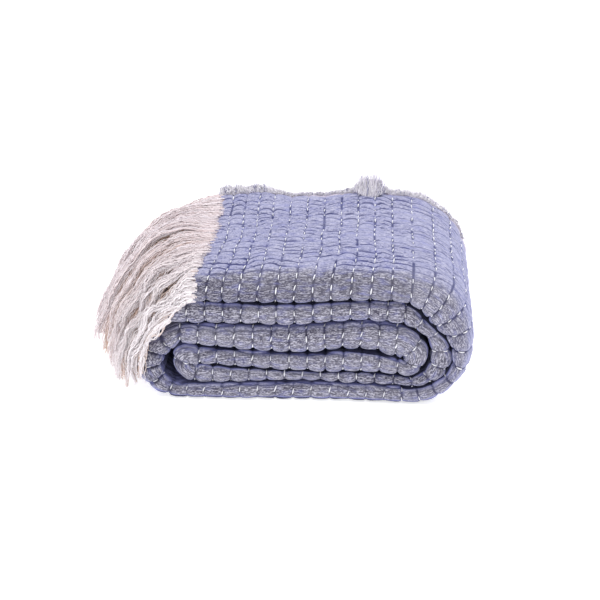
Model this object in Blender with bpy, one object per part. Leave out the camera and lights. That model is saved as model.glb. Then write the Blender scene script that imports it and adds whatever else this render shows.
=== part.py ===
"""A folded throw: one stitched and crinkled cotton cloth with a cream fringe at both ends.

The cloth is folded lengthwise, so that a rounded fold faces the front, then folded in half with both
fringed ends at the left, then rolled in three. Seen from the front its bands lie one on another, from
the top A, B, C, G, H and F. The strip runs through them in the order A, F, C, G, H, B, with a turn at
the left or the right between one band and the next.

Metres, +Z up, the folds' fronts towards -Y. The origin is at the middle of the resting face.
"""

import math
from collections import namedtuple

import bpy
from mathutils import Vector

MM = 0.001

# the cloth
DEPTH = 175 * MM  # from the front of the folds to the open back edges
BAND_GAP = 1.0 * MM  # between one band and the next
LEAF_GAP = 0.8 * MM  # between the four leaves of a band
CHANNEL = 16.4 * MM  # from one row of stitches to the next
STEPS_PER_CHANNEL = 2
STITCH_PULL = 1.5 * MM  # how deep a row of stitches draws the cloth in
FRONT_PULL = 0.7  # that pull on the folds' fronts, as a share of it
FRONT_WAVE = 1.4 * MM  # how far the folds' fronts wander
FRONT_WAVE_LENGTH = 195 * MM
BACK_WAVE = 2.5 * MM  # how far the open back edges wander
BACK_WAVE_LENGTH = 270 * MM
BACK_FOLD_WAVE_LENGTH = 360 * MM
UNDER_LEAF_OUT = 4 * MM  # how far the last leaf's edge lies behind the first one's
HEART_SHARE = 0.5  # of the port shoulder, how far the two innermost leaves end behind the inner fold

# the lift of the first leaf at the back
BACK_LIFT = 6 * MM
LIFT_START = 70 * MM  # the height at which it begins, round the outer right turn
LIFT_FADE = 50 * MM
LIFT_Y = 35 * MM  # how far back it begins, and the flap too

# the upper end, which slants back from its front corner
END_SLANT = 11 * MM
END_SLANT_REACH = 60 * MM  # how far along the strip that slant fades out

# the flap of the first leaf that stands up at the back
FLAP_X = 55 * MM
FLAP_HALF_WIDTH = 22 * MM
FLAP_RISE = 12 * MM
FLAP_BACK = 5 * MM

# heights of the lines between the bands, in mm, at five places from left to right
LINE_X = (-104, -60, 0, 50, 88)
LINE_Z = {
    "top": (124, 128, 132, 134, 131),
    "A-B": (96.5, 95.5, 96.8, 101.0, 100.3),
    "B-C": (73.6, 74.2, 76.1, 80.0, 77.1),
    "C-G": (51.5, 48.8, 46.4, 50.5, 43.2),
    "G-H": (34.5, 30.2, 27.9, 28.6, 28.2),
    "H-F": (14.2, 15.3, 17.1, 17.3, 16.3),
    "floor": (0, 0, 0, 0, 0),
}

# A front fold's outline bends at these turns from its front, in degrees.
BROW, SLOPE, SHOULDER = 26, 55, 90
CHEEK = 45

# A fold's shape. The port side is on the left hand of someone who walks along the strip. A shoulder is
# how far behind the front the fold reaches its full thickness, on that side. The nose is where the
# fold's front lies, from -1 at starboard to 1 at port. Set back is how far the front lies behind the
# frontmost fold's. All but the nose in mm.
Fold = namedtuple("Fold", "port_shoulder starboard_shoulder nose set_back")

# one row for each band, in the strip's order
Band = namedtuple("Band", "name port_line starboard_line from_x to_x fold")
BANDS = (
    Band("A", "top", "A-B", -102, 88, Fold(34, 8, -0.45, 1)),
    Band("F", "floor", "H-F", 88, -112, Fold(8, 8, 0.0, 0)),
    Band("C", "B-C", "C-G", -112, 88, Fold(14, 11, 0.0, 0)),
    Band("G", "G-H", "C-G", 88, -97, Fold(8, 9, 0.0, 1)),
    Band("H", "G-H", "H-F", -97, 88, Fold(6, 6, 0.0, 3)),
    Band("B", "B-C", "A-B", 88, -123, Fold(10, 9, 0.0, 1)),
)

# One row for each turn between two bands. Its cuts fan out from a pivot. Far and near are the radii of
# its outer and inner side in mm, at five even steps of the half turn.
Turn = namedtuple("Turn", "name pivot_x pivot_z side start port_is_far far near")
TURNS = (
    Turn("outer right", 88, 58, 1, 1, True, (72.5, 67.5, 65.2, 65, 62), (36, 34, 43, 49, 47)),
    Turn("outer left", -112, 33, -1, -1, True, (35.6, 41, 43.5, 42, 37.5), (21.5, 22.5, 22, 19.5, 17)),
    Turn("inner right", 88, 42.4, 1, 1, True, (30, 27.5, 24, 21, 17), (0.8, 0.8, 0.8, 0.8, 0.8)),
    Turn("inner left", -97, 32, -1, 1, False, (22.5, 24.5, 21, 17.2, 17.5), (0.8, 0.8, 0.8, 0.8, 0.8)),
    Turn("middle right", 88, 50, 1, -1, False, (38, 43, 44.5, 38.5, 38.5), (27.5, 29, 28, 28, 26)),
)
CUTS_PER_TURN = 36
CUTS_PER_BAND = 60

# The fringes. Each is a narrow strip along the end of a leaf, parted from it, with the strands' roots
# fused to it. The strip follows the corners of the cloth's end that are named, and lies inside them.
# Tips are given at the back, the middle and the front, in mm. Out is how far a strand is guided from
# its root, and drop how high above its tip it turns down, as shares of its whole way out and down. Rise
# is how far it is guided upwards from its root, in mm.
Fringe = namedtuple("Fringe", "name band corners inward strands from_share to_share tips out drop rise")
FRINGES = (
    Fringe(
        "fringe_upper", "A",
        ("port back", "port middle", "port shoulder", "port slope", "port brow", "nose"),
        1, 40, 0.02, 0.97, ((-212, 58, -3), (-203, 4, -4), (-176, -78, 8)), 0.42, 0.62, 0,
    ),
    Fringe(
        "fringe_upper_under", "A", ("back fold outside", "starboard shoulder"),
        -1, 30, 0.03, 0.95, ((-190, 66, -4), (-186, 2, -4), (-170, -64, -2)), 0.6, 0.7, 9,
    ),
    Fringe(
        "fringe_lower", "B", ("last edge under", "heart port", "inner nose"),
        1, 32, 0.02, 0.97, ((-168, 68, -4), (-166, 0, -4), (-161, -76, 6)), 0.5, 0.75, 0,
    ),
)
STRIP_GAP = 0.5 * MM  # between the cloth's end and the strip
STRIP_WIDTH = 2.2 * MM
STRIP_HEIGHT = 3.2 * MM
STRIP_INSET = 2.6 * MM  # how far the strip's middle lies inside the leaf's outline
STRAND_SHARE = 0.68  # a root's share of the pitch from one strand to the next
STRAND_TIP = 0.5  # a tip's width as a share of its root's
STRAND_STEPS = 6
STRAND_WAVE = 1.3 * MM  # how far a strand waves, either way
ACROSS_WAVE, OUT_WAVE = 5, 8  # those waves from root to tip, in radians
STRAND_PHASE = 9  # how far the waves shift from the first strand to the last, in radians
TIP_LEAN_X, TIP_LEAN_Y = 0.1, 0.2  # how far off its tip a strand turns down, as shares of its whole way
NEAR = 0.02  # a short step along a curve, which gives its direction


def smooth_at(xs, values, x):
    """The value at x of a curve through the points, straight on past its ends."""
    if x <= xs[0] or x >= xs[-1]:
        i, j = (0, 1) if x <= xs[0] else (-2, -1)
        slope = (values[j] - values[i]) / (xs[j] - xs[i])
        return values[i] + slope * (x - xs[i])
    k = max(i for i in range(len(xs) - 1) if xs[i] <= x)
    width = xs[k + 1] - xs[k]
    rise = values[k + 1] - values[k]
    t = (x - xs[k]) / width
    start_bend = slope_at(xs, values, k) * width - rise
    end_bend = rise - slope_at(xs, values, k + 1) * width
    return values[k] + t * rise + t * (1 - t) * ((1 - t) * start_bend + t * end_bend)


def slope_at(xs, values, i):
    """The slope of that curve at its i-th point."""
    before, after = max(i - 1, 0), min(i + 1, len(xs) - 1)
    return (values[after] - values[before]) / (xs[after] - xs[before])


def mix(a, b, t):
    return tuple(p + (q - p) * t for p, q in zip(a, b))


# A cut across the strip: its port and starboard edges as (x, z) in mm, its fold and its band's name.
Cut = namedtuple("Cut", "port starboard fold band")


def band_edges(band, x):
    """The band's port and starboard edges at x, each half a band gap off its line."""
    heights = [smooth_at(LINE_X, LINE_Z[line], x) for line in (band.port_line, band.starboard_line)]
    off = math.copysign(BAND_GAP / MM / 2, heights[0] - heights[1])
    port = heights[0] if band.port_line in ("top", "floor") else heights[0] - off
    return (x, port), (x, heights[1] + off)


def turn_cuts(turn, before, after):
    """The cuts of a turn, between the band that ends there and the one that starts there."""
    starts, ends = band_edges(before, before.to_x), band_edges(after, after.from_x)
    radii = []
    for middle, edge in ((turn.far, not turn.port_is_far), (turn.near, turn.port_is_far)):
        radii.append([abs(starts[edge][1] - turn.pivot_z), *middle, abs(ends[edge][1] - turn.pivot_z)])
    steps = [i / (len(radii[0]) - 1) for i in range(len(radii[0]))]
    for i in range(1, CUTS_PER_TURN):
        t = i / CUTS_PER_TURN
        across = turn.side * math.sin(math.pi * t)
        along = turn.start * math.cos(math.pi * t)
        edges = []
        for radius in radii:
            r = smooth_at(steps, radius, t)
            edges.append((turn.pivot_x + across * r, turn.pivot_z + along * r))
        port, starboard = edges if turn.port_is_far else edges[::-1]
        yield Cut(port, starboard, Fold(*mix(before.fold, after.fold, t)), turn.name)


def strip_cuts():
    """Close cuts along the whole strip."""
    for band, turn, after in zip(BANDS, (*TURNS, None), (*BANDS[1:], None)):
        for i in range(CUTS_PER_BAND + 1):
            x = band.from_x + (band.to_x - band.from_x) * i / CUTS_PER_BAND
            yield Cut(*band_edges(band, x), band.fold, band.name)
        if turn:
            yield from turn_cuts(turn, band, after)


def even_cuts():
    """Cuts at even steps along the strip's middle, a whole number of steps to a channel, each with its
    way along the strip."""
    cuts = list(strip_cuts())
    middles = [mix(cut.port, cut.starboard, 0.5) for cut in cuts]
    ways = [0.0]
    for a, b in zip(middles, middles[1:]):
        ways.append(ways[-1] + math.dist(a, b) * MM)
    count = round(ways[-1] / CHANNEL) * STEPS_PER_CHANNEL
    k = 0
    for i in range(count + 1):
        way = ways[-1] * i / count
        while k < len(cuts) - 2 and ways[k + 1] < way:
            k += 1
        step = ways[k + 1] - ways[k]
        t = (way - ways[k]) / step if step else 0.0
        a, b = cuts[k], cuts[k + 1]
        port, starboard = mix(a.port, b.port, t), mix(a.starboard, b.starboard, t)
        stitched = i % STEPS_PER_CHANNEL == 0 and 0 < i < count
        yield Cut(port, starboard, Fold(*mix(a.fold, b.fold, t)), a.band), way, stitched


def flap(x):
    """From 0 to 1, how far the top ply's back edge stands up at x."""
    off = (x - FLAP_X) / FLAP_HALF_WIDTH
    return math.cos(off * math.pi / 2) ** 2 if abs(off) < 1 else 0.0


def wave(way, length, start=0.0):
    return math.sin(way * 2 * math.pi / length + start)


def section(cut, way, stitched):
    """The cloth's outline at one cut, as named corners. The cloth is folded in four there. Its first
    leaf runs forward on the port side, round the front fold and back on the starboard side, round the
    back fold, forward again, round an inner front fold and back to end under the first leaf's edge.
    Each corner is how far back it lies, and its place from -1 at starboard to 1 at port."""
    port = (cut.port[0] * MM, max(cut.port[1], 0) * MM)
    starboard = (cut.starboard[0] * MM, max(cut.starboard[1], 0) * MM)
    half = math.dist(port, starboard) / 2
    pull = STITCH_PULL if stitched else 0.0
    gap = LEAF_GAP / half
    leaf = (2 - 3 * gap) / 4
    thick = leaf * half
    over, under = 1 - leaf, leaf - 1
    on_floor = port[1] < BAND_GAP
    port_side = 1 if on_floor else 1 - pull / half
    starboard_side = pull / half - 1
    front_y = cut.fold.set_back * MM - DEPTH / 2 + pull * FRONT_PULL
    front_y += FRONT_WAVE * wave(way, FRONT_WAVE_LENGTH)
    back_y = DEPTH / 2 + BACK_WAVE * wave(way, BACK_WAVE_LENGTH)
    fold_y = DEPTH / 2 + BACK_WAVE * wave(way, BACK_FOLD_WAVE_LENGTH, 2)
    lift = 0.0
    if cut.band in ("A", "outer right"):
        lift = BACK_LIFT * max(0.0, min(1.0, (port[1] - LIFT_START) / LIFT_FADE)) / half
    if cut.band == "A":
        back_y += FLAP_BACK * flap(port[0])
        lift += FLAP_RISE * flap(port[0]) / half
    port_shoulder, starboard_shoulder = cut.fold.port_shoulder * MM, cut.fold.starboard_shoulder * MM

    def front(degrees, shoulder, side):
        turned = math.radians(degrees)
        y = front_y + shoulder * (1 - math.cos(turned))
        return y, cut.fold.nose + (side - cut.fold.nose) * math.sin(turned)

    heart_y = front_y + 2 * thick + LEAF_GAP + port_shoulder * HEART_SHARE
    outline = {
        "port back": (back_y, port_side + lift),
        "port middle": (LIFT_Y, port_side),
        "port shoulder": front(SHOULDER, port_shoulder, port_side),
        "port slope": front(SLOPE, port_shoulder, port_side),
        "port brow": front(BROW, port_shoulder, port_side),
        "nose": front(0, port_shoulder, port_side),
        "starboard cheek": front(CHEEK, starboard_shoulder, starboard_side),
        "starboard shoulder": front(SHOULDER, starboard_shoulder, starboard_side),
        "back fold outside": (fold_y - thick, starboard_side),
        "back fold": (fold_y, under + gap / 2),
        "back fold inside": (fold_y - thick, -gap / 2),
        "heart starboard": (heart_y, -gap / 2),
        "heart port": (heart_y, gap / 2),
        "last edge under": (back_y + UNDER_LEAF_OUT, gap / 2),
        "last edge over": (back_y + UNDER_LEAF_OUT, over - gap),
        "inner port shoulder": (front_y + port_shoulder + LEAF_GAP, over - gap),
        "inner nose": (front_y + thick + LEAF_GAP, cut.fold.nose),
        "inner starboard shoulder": (front_y + starboard_shoulder + LEAF_GAP, under + gap),
        "pocket inside": (fold_y - thick - LEAF_GAP, under + gap),
        "pocket outside": (fold_y - thick - LEAF_GAP, under),
        "starboard shoulder inside": (front_y + starboard_shoulder, under),
        "nose inside": (front_y + thick, cut.fold.nose),
        "port shoulder inside": (front_y + port_shoulder, over),
        "port middle inside": (LIFT_Y, over),
        "port back inside": (back_y, over + lift),
    }
    ring = {}
    for corner, (y, side) in outline.items():
        x, z = mix(starboard, port, (side + 1) / 2)
        slant = END_SLANT * (y / DEPTH + 0.5) * max(0.0, 1 - way / END_SLANT_REACH)
        ring[corner] = Vector((x + slant, y, max(z, 0.0)))
    return ring


def add_object(name, points, faces, finish):
    mesh = bpy.data.meshes.new(name)
    mesh.from_pydata(points, [], faces)
    mesh.materials.append(finish)
    made = bpy.data.objects.new(name, mesh)
    bpy.context.scene.collection.objects.link(made)
    return made


def skin(rings, points, skipped=lambda ring, side: False):
    """Adds closed rings to the points, and gives the faces that join each to the next and close the
    ends, without those that are skipped."""
    size = len(rings[0])
    start = len(points)
    points.extend(p for ring in rings for p in ring)
    faces = []
    for k in range(len(rings) - 1):
        for j in range(size):
            if not skipped(k, j):
                a, b, n = start + k * size, start + (k + 1) * size, (j + 1) % size
                faces.append((a + j, a + n, b + n, b + j))
    faces.append(tuple(start + j for j in reversed(range(size))))
    faces.append(tuple(start + (len(rings) - 1) * size + j for j in range(size)))
    return faces


def make_cloth(finish):
    """The cloth, and the named corners of its two ends."""
    rings = [section(*station) for station in even_cuts()]
    points = []
    faces = skin([list(ring.values()) for ring in rings], points)
    return add_object("cloth", points, faces, finish), {"A": rings[0], "B": rings[-1]}


def inset_line(line, inward):
    """The line moved square to itself, across the cloth's end, to lie inside the outline."""
    moved = []
    for k, point in enumerate(line):
        way = (line[min(k + 1, len(line) - 1)] - line[max(k - 1, 0)]).normalized()
        moved.append(point + Vector((0, -way.z, way.y)) * inward * STRIP_INSET)
    return moved


def spine_points(corners, from_share, to_share, count):
    """Evenly spaced points along a line through the corners, each with the line's direction there."""
    lengths = [(b - a).length for a, b in zip(corners, corners[1:])]
    total = sum(lengths)
    found = []
    for i in range(count):
        way = total * (from_share + (to_share - from_share) * i / (count - 1))
        k = 0
        while k < len(lengths) - 1 and way > lengths[k]:
            way -= lengths[k]
            k += 1
        found.append(corners[k].lerp(corners[k + 1], way / lengths[k]))
    ways = []
    for i in range(count):
        ways.append((found[min(i + 1, count - 1)] - found[max(i - 1, 0)]).normalized())
    return list(zip(found, ways))


def bezier(points, t):
    while len(points) > 1:
        points = [a.lerp(b, t) for a, b in zip(points, points[1:])]
    return points[0]


def strand_rings(root, share, fringe):
    """The rings of one strand past its root, which is four points of the strip's far side."""
    middle = sum(root, Vector()) / 4
    along, up = root[3] - root[0], root[0] - root[1]
    tip = Vector([smooth_at((0, 0.5, 1), [tip[k] * MM for tip in fringe.tips], share) for k in range(3)])
    fall = middle - tip
    guides = [middle, middle - Vector((fall.x * fringe.out, 0, -fringe.rise * MM))]
    guides += [tip + Vector((fall.x * TIP_LEAN_X, fall.y * TIP_LEAN_Y, fall.z * fringe.drop)), tip]
    phase = share * STRAND_PHASE
    rings = []
    for k in range(1, STRAND_STEPS + 1):
        t = k / STRAND_STEPS
        ahead = bezier(guides, t + NEAR) - bezier(guides, t - NEAR)
        across = along.normalized().lerp(Vector((0, -1, 0)), t)
        across = (across - ahead * across.dot(ahead) / ahead.length_squared).normalized()
        out = ahead.cross(across).normalized()
        centre = bezier(guides, t) + across * STRAND_WAVE * t * math.sin(ACROSS_WAVE * t + phase)
        centre += out * STRAND_WAVE * t * math.sin(OUT_WAVE * t + phase)
        taper = (1 + (STRAND_TIP - 1) * t) / 2
        across *= along.length * taper
        out *= up.length * taper
        centre.z = max(centre.z, abs(out.z) + abs(across.z))
        rings.append([centre + a * across + b * out for a, b in ((-1, 1), (-1, -1), (1, -1), (1, 1))])
    return rings


def make_fringe(fringe, end, finish):
    """A strip along part of the cloth's end, with its strands."""
    line = inset_line([end[corner] for corner in fringe.corners], fringe.inward)
    spine = spine_points(line, fringe.from_share, fringe.to_share, fringe.strands)
    pitch = (spine[1][0] - spine[0][0]).length
    rings = []
    for middle, way in spine:
        up = Vector((0, way.z, -way.y)) * STRIP_HEIGHT / 2
        near = middle - Vector((STRIP_GAP, 0, 0))
        far = near - Vector((STRIP_WIDTH, 0, 0))
        for side in (-1, 1):
            off = way * pitch * STRAND_SHARE / 2 * side
            rings.append([far + off + up, far + off - up, near + off - up, near + off + up])
    points = []
    faces = skin(rings, points, lambda ring, side: side == 0 and ring % 2 == 0)
    for i in range(fringe.strands):
        first = 8 * i
        last = (first, first + 1, first + 5, first + 4)
        for ring in strand_rings([points[k] for k in last], i / (fringe.strands - 1), fringe):
            new = tuple(range(len(points), len(points) + 4))
            points.extend(ring)
            faces.extend((last[j], last[j - 3], new[j - 3], new[j]) for j in range(4))
            last = new
        faces.append(last)
    return add_object(fringe.name, points, faces, finish)


def stand_on_origin(pieces):
    """Parents the pieces to an empty that puts the middle of their shared foot at the origin."""
    points = [vertex.co for piece in pieces for vertex in piece.data.vertices]
    middle = [(min(p[k] for p in points) + max(p[k] for p in points)) / 2 for k in range(2)]
    holder = bpy.data.objects.new("throw", None)
    bpy.context.scene.collection.objects.link(holder)
    holder.location = (-middle[0], -middle[1], 0)
    for piece in pieces:
        piece.parent = holder


def material(name, colour, roughness):
    made = bpy.data.materials.new(name)
    made.use_nodes = True
    shader = made.node_tree.nodes["Principled BSDF"]
    shader.inputs["Base Color"].default_value = (*colour, 1)
    shader.inputs["Roughness"].default_value = roughness
    shader.inputs["Metallic"].default_value = 0.0
    return made


for old in list(bpy.data.objects):
    bpy.data.objects.remove(old, do_unlink=True)

cloth, ends = make_cloth(material("stitched cotton", (0.33, 0.33, 0.47), 0.9))
cream = material("cream cotton", (0.68, 0.62, 0.58), 0.95)
stand_on_origin([cloth] + [make_fringe(fringe, ends[fringe.band], cream) for fringe in FRINGES])
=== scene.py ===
import math
from collections import namedtuple
from functools import partialmethod

import bpy
import numpy as np
from mathutils import Euler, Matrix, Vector


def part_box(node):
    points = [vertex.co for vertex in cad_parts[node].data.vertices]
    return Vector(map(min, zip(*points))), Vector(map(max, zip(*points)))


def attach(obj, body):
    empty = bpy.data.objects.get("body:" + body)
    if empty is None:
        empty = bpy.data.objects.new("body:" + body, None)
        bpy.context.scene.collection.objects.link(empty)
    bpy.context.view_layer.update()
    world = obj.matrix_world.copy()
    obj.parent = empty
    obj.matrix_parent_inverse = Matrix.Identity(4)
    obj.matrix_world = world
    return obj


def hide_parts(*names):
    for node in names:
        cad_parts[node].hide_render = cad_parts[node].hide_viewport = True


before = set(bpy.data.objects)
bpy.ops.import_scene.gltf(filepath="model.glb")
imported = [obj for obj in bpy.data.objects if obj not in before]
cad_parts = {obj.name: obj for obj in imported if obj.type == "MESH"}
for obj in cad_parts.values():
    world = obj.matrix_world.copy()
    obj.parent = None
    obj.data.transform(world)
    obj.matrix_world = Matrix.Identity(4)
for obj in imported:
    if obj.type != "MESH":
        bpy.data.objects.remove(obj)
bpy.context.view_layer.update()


# The cloth. Two thin layers of cotton, sewn together by rows of running stitches and then shrunk, so
# that it puffs between the rows and crinkles along the threads. Its finish paints a sheen, grey where
# the cloth faces the front and lavender where it turns away, and paints shade in its creases, rows and
# gaps. It is folded lengthwise with a rounded fold at the front, then in half, then rolled in three,
# into the bands A, B, C, G, H, F.

MM = 0.001
DEPTH = 175 * MM  # from the front of the folds to the open back edges
BAND_GAP = 1.0 * MM
LEAF_GAP = 0.8 * MM
CHANNEL = 16.4 * MM  # from one row of stitches to the next
STEPS_PER_CHANNEL = 8
FRONT_WAVE, FRONT_WAVE_LENGTH = 1.4 * MM, 195 * MM  # how far the folds' fronts wander
BACK_WAVE, BACK_WAVE_LENGTH, BACK_FOLD_WAVE_LENGTH = 2.5 * MM, 270 * MM, 360 * MM
UNDER_LEAF_OUT = 4 * MM  # how far the last leaf's edge lies behind the first one's
HEART_SHARE = 0.5  # of a fold's port shoulder, how much further back its innermost leaf turns
# How far the first leaf lifts at the back, along the plan's x. On the right turn the lift starts at a
# height of LIFT_START, and is full LIFT_FADE higher up.
LIFT_START, LIFT_FADE = 70 * MM, 50 * MM
LIFT_X = np.array([-120, -96, -50, -20, 15, 40, 90, 103, 118, 130]) * MM
LIFT_RISE = np.array([4, 8.5, 8, 1.5, 1.3, 5, 7, 6, 3, 2]) * MM
LIFT_Y = 35 * MM  # from here to the back edge
END_OUTLINE_Y = (-88 * MM, -80 * MM, -50 * MM, 0.0, 87 * MM)  # the upper end, from front to back
END_OUTLINE_X = (0.0, 0.5 * MM, 5 * MM, 12 * MM, 11 * MM)
END_OUTLINE_REACH = 60 * MM  # along the strip, in which that slant fades
FLAP_X, FLAP_HALF_WIDTH = 56 * MM, 16 * MM  # the flap of the first leaf that stands up at the back
FLAP_RISE, FLAP_BACK = 12.5 * MM, 1 * MM
FLAP_STEEPNESS = 3.0  # of its two ends, with a flat top between them

# Heights of the lines between the bands, in mm, at five places from left to right.
LINE_X = (-104, -60, 0, 50, 88)
LINE_Z = {
    "top": (124, 128, 132, 134, 131),
    "A-B": (96.5, 95.5, 96.8, 101.0, 100.3),
    "B-C": (73.6, 74.2, 76.1, 80.0, 77.1),
    "C-G": (51.5, 48.8, 46.4, 50.5, 43.2),
    "G-H": (34.5, 30.2, 27.9, 28.6, 28.2),
    "H-F": (14.2, 15.3, 17.1, 17.3, 16.3),
    "floor": (0, 0, 0, 0, 0),
}

# A fold's shape: how far behind the front it reaches its full thickness on its port and its starboard
# side, where its front lies from -1 at starboard to 1 at port, and how far that lies behind the
# frontmost fold's. Port is the left hand of someone who walks along the strip. All but the nose in mm.
Fold = namedtuple("Fold", "port_shoulder starboard_shoulder nose set_back")
Band = namedtuple("Band", "name port_line starboard_line from_x to_x fold")
BANDS = (
    Band("A", "top", "A-B", -102, 88, Fold(34, 8, -0.45, 1)),
    Band("F", "floor", "H-F", 88, -112, Fold(8, 8, 0.0, 0)),
    Band("C", "B-C", "C-G", -112, 88, Fold(14, 11, 0.0, 0)),
    Band("G", "G-H", "C-G", 88, -97, Fold(8, 9, 0.0, 1)),
    Band("H", "G-H", "H-F", -97, 88, Fold(6, 6, 0.0, 3)),
    Band("B", "B-C", "A-B", 88, -123, Fold(10, 9, 0.0, 1)),
)

# One row for each turn between two bands, with the radii of its outer and inner side at five even steps.
Turn = namedtuple("Turn", "name pivot_x pivot_z side start port_is_far far near")
TURNS = (
    Turn("outer right", 88, 58, 1, 1, True, (72.5, 67.5, 65.2, 65, 62), (36, 34, 43, 49, 47)),
    Turn("outer left", -112, 33, -1, -1, True, (35.6, 41, 43.5, 42, 37.5), (21.5, 22.5, 22, 19.5, 17)),
    Turn("inner right", 88, 42.4, 1, 1, True, (30, 27.5, 24, 21, 17), (0.8, 0.8, 0.8, 0.8, 0.8)),
    Turn("inner left", -97, 32, -1, 1, False, (22.5, 24.5, 21, 17.2, 17.5), (0.8, 0.8, 0.8, 0.8, 0.8)),
    Turn("middle right", 88, 50, 1, -1, False, (38, 43, 44.5, 38.5, 38.5), (27.5, 29, 28, 28, 26)),
)
CUTS_PER_TURN = 36
CUTS_PER_BAND = 60


def smooth_at(xs, values, x):
    """The value at x of a curve through the points, straight on past its ends."""
    if x <= xs[0] or x >= xs[-1]:
        i, j = (0, 1) if x <= xs[0] else (-2, -1)
        slope = (values[j] - values[i]) / (xs[j] - xs[i])
        return values[i] + slope * (x - xs[i])
    k = max(i for i in range(len(xs) - 1) if xs[i] <= x)
    width = xs[k + 1] - xs[k]
    rise = values[k + 1] - values[k]
    t = (x - xs[k]) / width
    start_bend = slope_at(xs, values, k) * width - rise
    end_bend = rise - slope_at(xs, values, k + 1) * width
    return values[k] + t * rise + t * (1 - t) * ((1 - t) * start_bend + t * end_bend)


def slope_at(xs, values, i):
    before, after = max(i - 1, 0), min(i + 1, len(xs) - 1)
    return (values[after] - values[before]) / (xs[after] - xs[before])


def mix(a, b, t):
    return tuple(p + (q - p) * t for p, q in zip(a, b))


# A cut across the strip: its port and starboard edges as (x, z) in mm, its fold, and its band or turn.
Cut = namedtuple("Cut", "port starboard fold band")


def band_edges(band, x):
    """The band's port and starboard edges at x, each half a band gap off its line."""
    heights = [smooth_at(LINE_X, LINE_Z[line], x) for line in (band.port_line, band.starboard_line)]
    off = math.copysign(BAND_GAP / MM / 2, heights[0] - heights[1])
    port = heights[0] if band.port_line in ("top", "floor") else heights[0] - off
    return (x, port), (x, heights[1] + off)


def turn_cuts(turn, before, after):
    """The cuts of a turn, which fan out from its pivot."""
    starts, ends = band_edges(before, before.to_x), band_edges(after, after.from_x)
    radii = []
    for middle, edge in ((turn.far, not turn.port_is_far), (turn.near, turn.port_is_far)):
        radii.append([abs(starts[edge][1] - turn.pivot_z), *middle, abs(ends[edge][1] - turn.pivot_z)])
    steps = [i / (len(radii[0]) - 1) for i in range(len(radii[0]))]
    for i in range(1, CUTS_PER_TURN):
        t = i / CUTS_PER_TURN
        across = turn.side * math.sin(math.pi * t)
        along = turn.start * math.cos(math.pi * t)
        edges = []
        for radius in radii:
            r = smooth_at(steps, radius, t)
            edges.append((turn.pivot_x + across * r, turn.pivot_z + along * r))
        port, starboard = edges if turn.port_is_far else edges[::-1]
        yield Cut(port, starboard, Fold(*mix(before.fold, after.fold, t)), turn.name)


def strip_cuts():
    for band, turn, after in zip(BANDS, (*TURNS, None), (*BANDS[1:], None)):
        for i in range(CUTS_PER_BAND + 1):
            x = band.from_x + (band.to_x - band.from_x) * i / CUTS_PER_BAND
            yield Cut(*band_edges(band, x), band.fold, band.name)
        if turn:
            yield from turn_cuts(turn, band, after)


def even_cuts():
    """Even steps along the strip's middle, a whole number of them to a channel: their ways, what a cut
    has there as one row of numbers, and its band or turn."""
    cuts = list(strip_cuts())
    numbers = np.array([(*cut.port, *cut.starboard, *cut.fold) for cut in cuts])
    middles = (numbers[:, :2] + numbers[:, 2:4]) / 2
    ways = np.cumsum([0, *np.hypot(*np.diff(middles, axis=0).T)]) * MM
    count = round(ways[-1] / CHANNEL) * STEPS_PER_CHANNEL
    even = np.linspace(0, ways[-1], count + 1)
    rows = np.stack([np.interp(even, ways, column) for column in numbers.T], axis=1)
    before = np.clip(np.searchsorted(ways, even) - 1, 0, len(cuts) - 2)
    return even, rows, np.array([cut.band for cut in cuts])[before]


WAY, rows, BAND_AT = even_cuts()
PORT = np.maximum(rows[:, :2], (-np.inf, 0)) * MM
STARBOARD = np.maximum(rows[:, 2:4], (-np.inf, 0)) * MM
SHOULDER_PORT, SHOULDER_STARBOARD, NOSE, SET_BACK = rows[:, 4:].T
ON = {name: BAND_AT == name for name in set(BAND_AT)}


def wave(length, start=0.0):
    return np.sin(WAY * 2 * math.pi / length + start)


def flap(x):
    """From 0 to 1, how far the first leaf's back edge stands up at x."""
    off = np.clip((x - FLAP_X) / FLAP_HALF_WIDTH, -1, 1)
    return np.minimum(FLAP_STEEPNESS * np.cos(off * math.pi / 2) ** 2, 1)


def stretch(start, stop, count):
    """Points from start up to stop, without it, each as how far back it lies and its place from -1 at
    starboard to 1 at port, at every cut."""
    return [[a + (b - a) * k / count for a, b in zip(start, stop)] for k in range(count)]


def through(*stops):
    """Points along the straight lines from stop to stop, where the cloth is hidden or bends little."""
    return [point for start, stop in zip(stops, stops[1:]) for point in stretch(start, stop, FEW_STEPS)]


def round_front(front_y, shoulder, nose, side, start, stop, count):
    """Points round a quarter of a fold, between two turns from its front, in degrees."""
    found = []
    for k in range(count):
        turned = math.radians(start + (stop - start) * k / count)
        y = front_y + shoulder * (1 - math.cos(turned))
        found.append([y, nose + (side - nose) * math.sin(turned)])
    return found


def round_back(fold_y, inner, outer, thick, count):
    """Points round a fold at the back, from one side to the other."""
    found = []
    for k in range(count):
        turned = math.pi * k / count
        y = fold_y - thick + thick * math.sin(turned)
        found.append([y, (inner + outer) / 2 + (inner - outer) / 2 * math.cos(turned)])
    return found


STITCH_PULL = 2.4 * MM  # how deep a row of stitches draws the cloth in
TURN_PULL = {"outer left": 1.8, "inner left": 1.1, "inner right": 1.2, "F": 0.5}  # times that there
PORT_PULL = {"A": 0.5, "outer right": 0.45, "outer left": 0.35}  # times that on the port side alone
THIN_PULL = 0.55  # of a leaf's thickness, the most that it is drawn in
PUFF_ROUND = 2.3  # how full the cloth is between two rows
EDGE_GROOVE = 2.5 * MM  # between the two layers at a leaf's edge
SELVEDGE = 8 * MM  # the undyed edge of the weave
LEAST_FOLD = 0.5 * MM
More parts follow.
